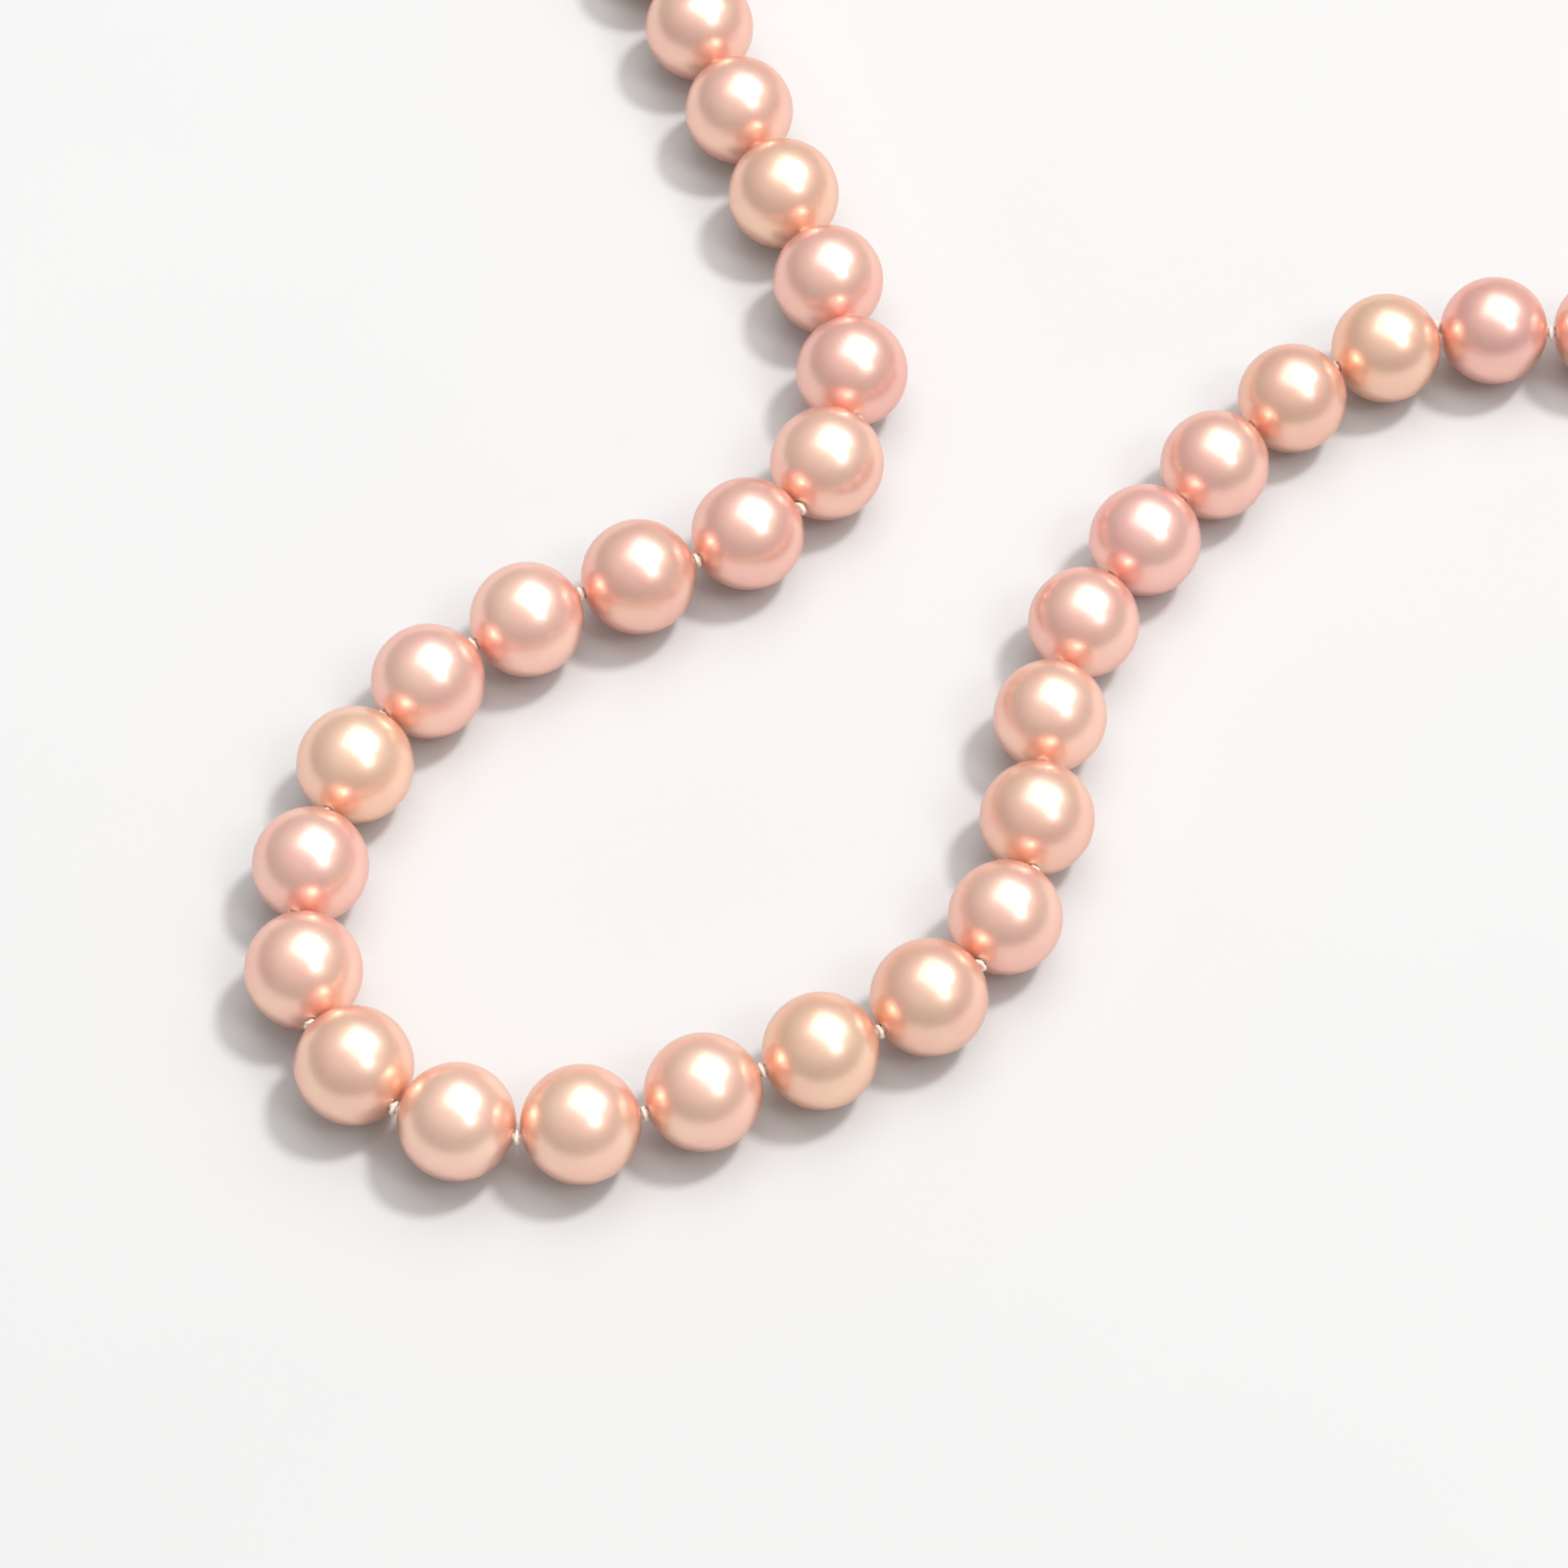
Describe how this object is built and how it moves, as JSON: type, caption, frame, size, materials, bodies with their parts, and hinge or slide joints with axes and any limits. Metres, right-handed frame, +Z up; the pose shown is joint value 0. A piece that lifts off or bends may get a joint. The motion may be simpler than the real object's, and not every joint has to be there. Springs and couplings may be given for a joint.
{
  "type": "knotted pearl necklace",
  "caption": "Single-strand necklace of near-round pearls knotted on silk, laid open in a loose S, with a sprung claw clasp and a flat catch ring.",
  "frame": {"origin": "on the table top, under the middle of the strand's outline as laid", "axes": "+Z up from the table; +Y across the table away from the viewer of the picture; +X to the viewer's right"},
  "size_m": [0.137, 0.156, 0.0094],
  "materials": {
    "pearl": "nacre: satin body with a soft gloss, champagne to peach to rose from pearl to pearl",
    "silk": "matt twisted silk",
    "gold": "polished gold-coloured metal",
    "spring_steel": "plain drawn wire"
  },
  "bodies": {
    "pearl_01": {"pearl_01": "pearl", "clasp_end_wire_cover": "gold"},
    "pearl_02": {"pearl_02": "pearl"},
    "pearl_03": {"pearl_03": "pearl"},
    "pearl_04": {"pearl_04": "pearl"},
    "pearl_05": {"pearl_05": "pearl"},
    "pearl_06": {"pearl_06": "pearl"},
    "pearl_07": {"pearl_07": "pearl"},
    "pearl_08": {"pearl_08": "pearl"},
    "pearl_09": {"pearl_09": "pearl"},
    "pearl_10": {"pearl_10": "pearl"},
    "pearl_11": {"pearl_11": "pearl"},
    "pearl_12": {"pearl_12": "pearl"},
    "pearl_13": {"pearl_13": "pearl"},
    "pearl_14": {"pearl_14": "pearl"},
    "pearl_15": {"pearl_15": "pearl"},
    "pearl_16": {"pearl_16": "pearl"},
    "pearl_17": {"pearl_17": "pearl"},
    "pearl_18": {"pearl_18": "pearl"},
    "pearl_19": {"pearl_19": "pearl"},
    "pearl_20": {"pearl_20": "pearl"},
    "pearl_21": {"pearl_21": "pearl"},
    "pearl_22": {"pearl_22": "pearl"},
    "pearl_23": {"pearl_23": "pearl", "silk_thread": "silk"},
    "pearl_24": {"pearl_24": "pearl"},
    "pearl_25": {"pearl_25": "pearl"},
    "pearl_26": {"pearl_26": "pearl"},
    "pearl_27": {"pearl_27": "pearl"},
    "pearl_28": {"pearl_28": "pearl"},
    "pearl_29": {"pearl_29": "pearl"},
    "pearl_30": {"pearl_30": "pearl"},
    "pearl_31": {"pearl_31": "pearl"},
    "pearl_32": {"pearl_32": "pearl"},
    "pearl_33": {"pearl_33": "pearl"},
    "pearl_34": {"pearl_34": "pearl"},
    "pearl_35": {"pearl_35": "pearl"},
    "pearl_36": {"pearl_36": "pearl"},
    "pearl_37": {"pearl_37": "pearl"},
    "pearl_38": {"pearl_38": "pearl"},
    "pearl_39": {"pearl_39": "pearl"},
    "pearl_40": {"pearl_40": "pearl"},
    "pearl_41": {"pearl_41": "pearl"},
    "pearl_42": {"pearl_42": "pearl"},
    "pearl_43": {"pearl_43": "pearl"},
    "pearl_44": {"pearl_44": "pearl"},
    "pearl_45": {"pearl_45": "pearl", "ring_end_wire_cover": "gold"},
    "clasp_ring": {"clasp_jump_ring": "gold"},
    "claw": {"clasp_claw": "gold", "clasp_pivot_pin": "gold", "clasp_spring": "spring_steel"},
    "lever": {"clasp_lever": "gold"},
    "catch_link": {"catch_jump_ring": "gold"},
    "catch": {"catch_ring": "gold"}
  },
  "joints": [
    {"name": "clasp_ring_swing", "type": "hinge", "parent": "pearl_01", "child": "clasp_ring", "pos_m": [0.00979, 0.06105, 0.0033], "axis": [-0.5096, -0.8604, 0], "range_deg": [-50, 60]},
    {"name": "claw_swing", "type": "hinge", "parent": "clasp_ring", "child": "claw", "pos_m": [0.01086, 0.06042, 0.0015], "axis": [-0.5096, -0.8604, 0], "range_deg": [-60, 25]},
    {"name": "lever_open", "type": "hinge", "parent": "claw", "child": "lever", "pos_m": [0.01397, 0.05673, 0.0015], "axis": [0, 0, 1], "range_deg": [0, 28], "stiffness_Nm_per_rad": 0.0002, "springref_deg": -11.46, "deforming": ["clasp_spring"]},
    {"name": "catch_link_swing", "type": "hinge", "parent": "pearl_45", "child": "catch_link", "pos_m": [0.03553, 0.05788, 0.00327], "axis": [0.2521, 0.9677, 0], "range_deg": [-50, 60]},
    {"name": "catch_ring_swing", "type": "hinge", "parent": "catch_link", "child": "catch", "pos_m": [0.03442, 0.05817, 0.00165], "axis": [0.2521, 0.9677, 0], "range_deg": [-60, 60]},
    {"name": "knot_23", "type": "hinge", "parent": "pearl_23", "child": "pearl_24", "pos_m": [-0.04695, -0.07441, 0.00459], "axis": [-0.0292, -0.9996, 0], "range_deg": [-25, 25], "deforming": ["silk_thread"]},
    {"name": "knot_24", "type": "hinge", "parent": "pearl_24", "child": "pearl_25", "pos_m": [-0.03737, -0.07244, 0.00459], "axis": [-0.2916, 0.9565, 0], "range_deg": [-35, 35], "deforming": ["silk_thread"]},
    {"name": "knot_25", "type": "hinge", "parent": "pearl_25", "child": "pearl_26", "pos_m": [-0.02841, -0.06877, 0.00456], "axis": [0.3735, -0.9276, 0], "range_deg": [-37, 37], "deforming": ["silk_thread"]},
    {"name": "knot_26", "type": "hinge", "parent": "pearl_26", "child": "pearl_27", "pos_m": [-0.01944, -0.06522, 0.00457], "axis": [-0.4919, 0.8707, 0], "range_deg": [-33, 33], "deforming": ["silk_thread"]},
    {"name": "knot_27", "type": "hinge", "parent": "pearl_27", "child": "pearl_28", "pos_m": [-0.0117, -0.05931, 0.00455], "axis": [0.7693, -0.6388, 0], "range_deg": [-26, 26], "deforming": ["silk_thread"]},
    {"name": "knot_28", "type": "hinge", "parent": "pearl_28", "child": "pearl_29", "pos_m": [-0.0074, -0.05077, 0.00453], "axis": [-0.9584, 0.2854, 0], "range_deg": [-31, 31], "deforming": ["silk_thread"]},
    {"name": "knot_29", "type": "hinge", "parent": "pearl_29", "child": "pearl_30", "pos_m": [-0.00632, -0.04117, 0.00455], "axis": [0.9913, -0.1313, 0], "range_deg": [-36, 36], "deforming": ["silk_thread"]},
    {"name": "knot_30", "type": "hinge", "parent": "pearl_30", "child": "pearl_31", "pos_m": [-0.00486, -0.03165, 0.00451], "axis": [-0.9507, 0.3102, 0], "range_deg": [-32, 32], "deforming": ["silk_thread"]},
    {"name": "knot_31", "type": "hinge", "parent": "pearl_31", "child": "pearl_32", "pos_m": [-0.00047, -0.02319, 0.00452], "axis": [0.8391, -0.544, 0], "range_deg": [-35, 35], "deforming": ["silk_thread"]},
    {"name": "knot_32", "type": "hinge", "parent": "pearl_32", "child": "pearl_33", "pos_m": [0.00554, -0.01563, 0.00452], "axis": [-0.7831, 0.6219, 0], "range_deg": [-37, 37], "deforming": ["silk_thread"]},
    {"name": "knot_33", "type": "hinge", "parent": "pearl_33", "child": "pearl_34", "pos_m": [0.01146, -0.00817, 0.00449], "axis": [0.7118, -0.7024, 0], "range_deg": [-35, 35], "deforming": ["silk_thread"]},
    {"name": "knot_34", "type": "hinge", "parent": "pearl_34", "child": "pearl_35", "pos_m": [0.01886, -0.00214, 0.00452], "axis": [-0.5372, 0.8434, 0], "range_deg": [-34, 34], "deforming": ["silk_thread"]},
    {"name": "knot_35", "type": "hinge", "parent": "pearl_35", "child": "pearl_36", "pos_m": [0.02752, 0.00205, 0.0045], "axis": [0.1995, -0.9799, 0], "range_deg": [-24, 24], "deforming": ["silk_thread"]},
    {"name": "knot_36", "type": "hinge", "parent": "pearl_36", "child": "pearl_37", "pos_m": [0.03698, 0.00159, 0.0045], "axis": [0.0006, 1, 0], "range_deg": [-36, 36], "deforming": ["silk_thread"]},
    {"name": "knot_37", "type": "hinge", "parent": "pearl_37", "child": "pearl_38", "pos_m": [0.04658, 0.00204, 0.00451], "axis": [0.2979, -0.9546, 0], "range_deg": [-23, 23], "deforming": ["silk_thread"]},
    {"name": "knot_38", "type": "hinge", "parent": "pearl_38", "child": "pearl_39", "pos_m": [0.05467, 0.00709, 0.00449], "axis": [-0.6638, 0.7479, 0], "range_deg": [-32, 32], "deforming": ["silk_thread"]},
    {"name": "knot_39", "type": "hinge", "parent": "pearl_39", "child": "pearl_40", "pos_m": [0.06063, 0.01451, 0.00451], "axis": [0.8703, -0.4926, 0], "range_deg": [-32, 32], "deforming": ["silk_thread"]},
    {"name": "knot_40", "type": "hinge", "parent": "pearl_40", "child": "pearl_41", "pos_m": [0.06396, 0.02355, 0.00451], "axis": [-0.984, 0.178, 0], "range_deg": [-31, 31], "deforming": ["silk_thread"]},
    {"name": "knot_41", "type": "hinge", "parent": "pearl_41", "child": "pearl_42", "pos_m": [0.06401, 0.03305, 0.0045], "axis": [0.9878, 0.1559, 0], "range_deg": [-32, 32], "deforming": ["silk_thread"]},
    {"name": "knot_42", "type": "hinge", "parent": "pearl_42", "child": "pearl_43", "pos_m": [0.06101, 0.04217, 0.00453], "axis": [0, 0, 1], "range_deg": [-56, 17], "deforming": ["silk_thread"]},
    {"name": "knot_43", "type": "hinge", "parent": "pearl_43", "child": "pearl_44", "pos_m": [0.05516, 0.04983, 0.00452], "axis": [0.6727, 0.7399, 0], "range_deg": [-31, 31], "deforming": ["silk_thread"]},
    {"name": "knot_44", "type": "hinge", "parent": "pearl_44", "child": "pearl_45", "pos_m": [0.04707, 0.05487, 0.00453], "axis": [0, 0, -1], "range_deg": [-19, 54], "deforming": ["silk_thread"]},
    {"name": "knot_22", "type": "hinge", "parent": "pearl_23", "child": "pearl_22", "pos_m": [-0.05629, -0.07191, 0.00459], "axis": [-0.5189, -0.8549, 0], "range_deg": [-17, 17], "deforming": ["silk_thread"]},
    {"name": "knot_21", "type": "hinge", "parent": "pearl_22", "child": "pearl_21", "pos_m": [-0.0629, -0.06468, 0.00462], "axis": [0, 0, -1], "range_deg": [-68, 5], "deforming": ["silk_thread"]},
    {"name": "knot_20", "type": "hinge", "parent": "pearl_21", "child": "pearl_20", "pos_m": [-0.06478, -0.05508, 0.0046], "axis": [-0.9999, 0.0124, 0], "range_deg": [-28, 28], "deforming": ["silk_thread"]},
    {"name": "knot_19", "type": "hinge", "parent": "pearl_20", "child": "pearl_19", "pos_m": [-0.06268, -0.04558, 0.00463], "axis": [0.948, -0.3184, 0], "range_deg": [-34, 34], "deforming": ["silk_thread"]},
    {"name": "knot_18", "type": "hinge", "parent": "pearl_19", "child": "pearl_18", "pos_m": [-0.05856, -0.03659, 0.00464], "axis": [-0.8208, 0.5712, 0], "range_deg": [-30, 30], "deforming": ["silk_thread"]},
    {"name": "knot_17", "type": "hinge", "parent": "pearl_18", "child": "pearl_17", "pos_m": [-0.05165, -0.02969, 0.00462], "axis": [0, 0, 1], "range_deg": [-21, 51], "deforming": ["silk_thread"]},
    {"name": "knot_16", "type": "hinge", "parent": "pearl_17", "child": "pearl_16", "pos_m": [-0.04312, -0.0248, 0.00466], "axis": [-0.4219, 0.9066, 0], "range_deg": [-35, 35], "deforming": ["silk_thread"]},
    {"name": "knot_15", "type": "hinge", "parent": "pearl_16", "child": "pearl_15", "pos_m": [-0.03383, -0.0214, 0.00464], "axis": [0.4391, -0.8984, 0], "range_deg": [-34, 34], "deforming": ["silk_thread"]},
    {"name": "knot_14", "type": "hinge", "parent": "pearl_15", "child": "pearl_14", "pos_m": [-0.02555, -0.01622, 0.00464], "axis": [-0.7318, 0.6815, 0], "range_deg": [-21, 21], "deforming": ["silk_thread"]},
    {"name": "knot_13", "type": "hinge", "parent": "pearl_14", "child": "pearl_13", "pos_m": [-0.02091, -0.00747, 0.00466], "axis": [0.9756, -0.2196, 0], "range_deg": [-20, 20], "deforming": ["silk_thread"]},
    {"name": "knot_12", "type": "hinge", "parent": "pearl_13", "child": "pearl_12", "pos_m": [-0.02135, 0.00236, 0.00464], "axis": [-0.9799, -0.1993, 0], "range_deg": [-32, 32], "deforming": ["silk_thread"]},
    {"name": "knot_11", "type": "hinge", "parent": "pearl_12", "child": "pearl_11", "pos_m": [-0.02477, 0.01155, 0.00466], "axis": [0, 0, -1], "range_deg": [-33, 40], "deforming": ["silk_thread"]},
    {"name": "knot_10", "type": "hinge", "parent": "pearl_11", "child": "pearl_10", "pos_m": [-0.0288, 0.02062, 0.00465], "axis": [-0.9232, -0.3842, 0], "range_deg": [-36, 36], "deforming": ["silk_thread"]},
    {"name": "knot_09", "type": "hinge", "parent": "pearl_10", "child": "pearl_09", "pos_m": [-0.03234, 0.02972, 0.00463], "axis": [0, 0, 1], "range_deg": [-35, 37], "deforming": ["silk_thread"]},
    {"name": "knot_08", "type": "hinge", "parent": "pearl_09", "child": "pearl_08", "pos_m": [-0.03574, 0.03897, 0.00465], "axis": [-0.9355, -0.3534, 0], "range_deg": [-36, 36], "deforming": ["silk_thread"]},
    {"name": "knot_07", "type": "hinge", "parent": "pearl_08", "child": "pearl_07", "pos_m": [-0.0393, 0.04815, 0.00462], "axis": [0, 0, 1], "range_deg": [-18, 55], "deforming": ["silk_thread"]},
    {"name": "knot_06", "type": "hinge", "parent": "pearl_07", "child": "pearl_06", "pos_m": [-0.03974, 0.05788, 0.00463], "axis": [-0.985, 0.1723, 0], "range_deg": [-27, 27], "deforming": ["silk_thread"]},
    {"name": "knot_05", "type": "hinge", "parent": "pearl_06", "child": "pearl_05", "pos_m": [-0.03597, 0.067, 0.00463], "axis": [0, 0, -1], "range_deg": [-67, 6], "deforming": ["silk_thread"]},
    {"name": "knot_04", "type": "hinge", "parent": "pearl_05", "child": "pearl_04", "pos_m": [-0.02819, 0.07284, 0.00459], "axis": [-0.3748, 0.9271, 0], "range_deg": [-22, 22], "deforming": ["silk_thread"]},
    {"name": "knot_03", "type": "hinge", "parent": "pearl_04", "child": "pearl_03", "pos_m": [-0.01852, 0.07405, 0.00461], "axis": [0, 0, 1], "range_deg": [-16, 57], "deforming": ["silk_thread"]},
    {"name": "knot_02", "type": "hinge", "parent": "pearl_03", "child": "pearl_02", "pos_m": [-0.00898, 0.07178, 0.00459], "axis": [0.3588, 0.9334, 0], "range_deg": [-33, 33], "deforming": ["silk_thread"]},
    {"name": "knot_01", "type": "hinge", "parent": "pearl_02", "child": "pearl_01", "pos_m": [-0.00052, 0.06716, 0.00457], "axis": [0, 0, -1], "range_deg": [-38, 34], "deforming": ["silk_thread"]}
  ]
}
